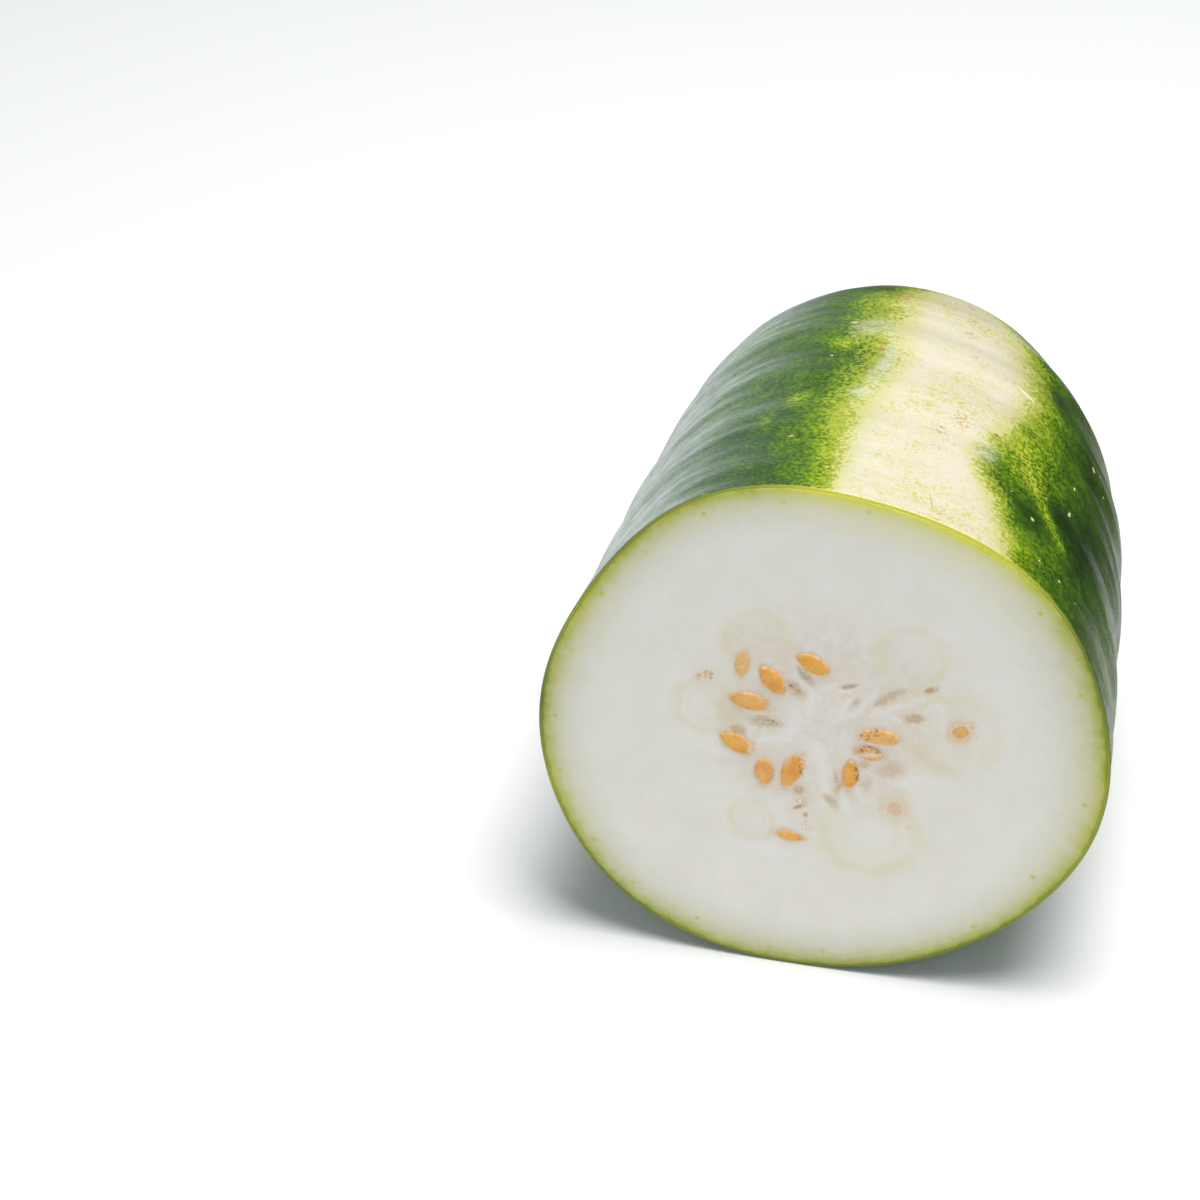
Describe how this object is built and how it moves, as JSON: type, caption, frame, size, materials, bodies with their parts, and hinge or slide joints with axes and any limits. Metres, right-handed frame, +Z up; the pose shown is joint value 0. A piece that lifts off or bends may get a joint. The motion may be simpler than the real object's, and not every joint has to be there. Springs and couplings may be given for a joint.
{
  "type": "winter melon half",
  "caption": "Half of a winter melon cut straight across: mottled green rind with a cream ground spot, pale flesh and a spongy middle with tan seeds.",
  "frame": {"origin": "bottom centre of the bounding box, on the surface the half rests on", "axes": "+Y along the melon, from the cut towards the blossom end; the cut face looks to -Y and leans up by 4.5 degrees; +Z up; +X to the right seen from the cut"},
  "size_m": [0.1791, 0.2261, 0.1794],
  "materials": {
    "rind": "waxy, dark green mottled with yellow-green, with a cream ground spot along the top",
    "flesh": "moist off-white flesh, yellow-green towards the rind, slightly translucent",
    "seed": "smooth tan seeds, moist"
  },
  "bodies": {
    "root": {"winter_melon_half": "rind"}
  },
  "joints": []
}
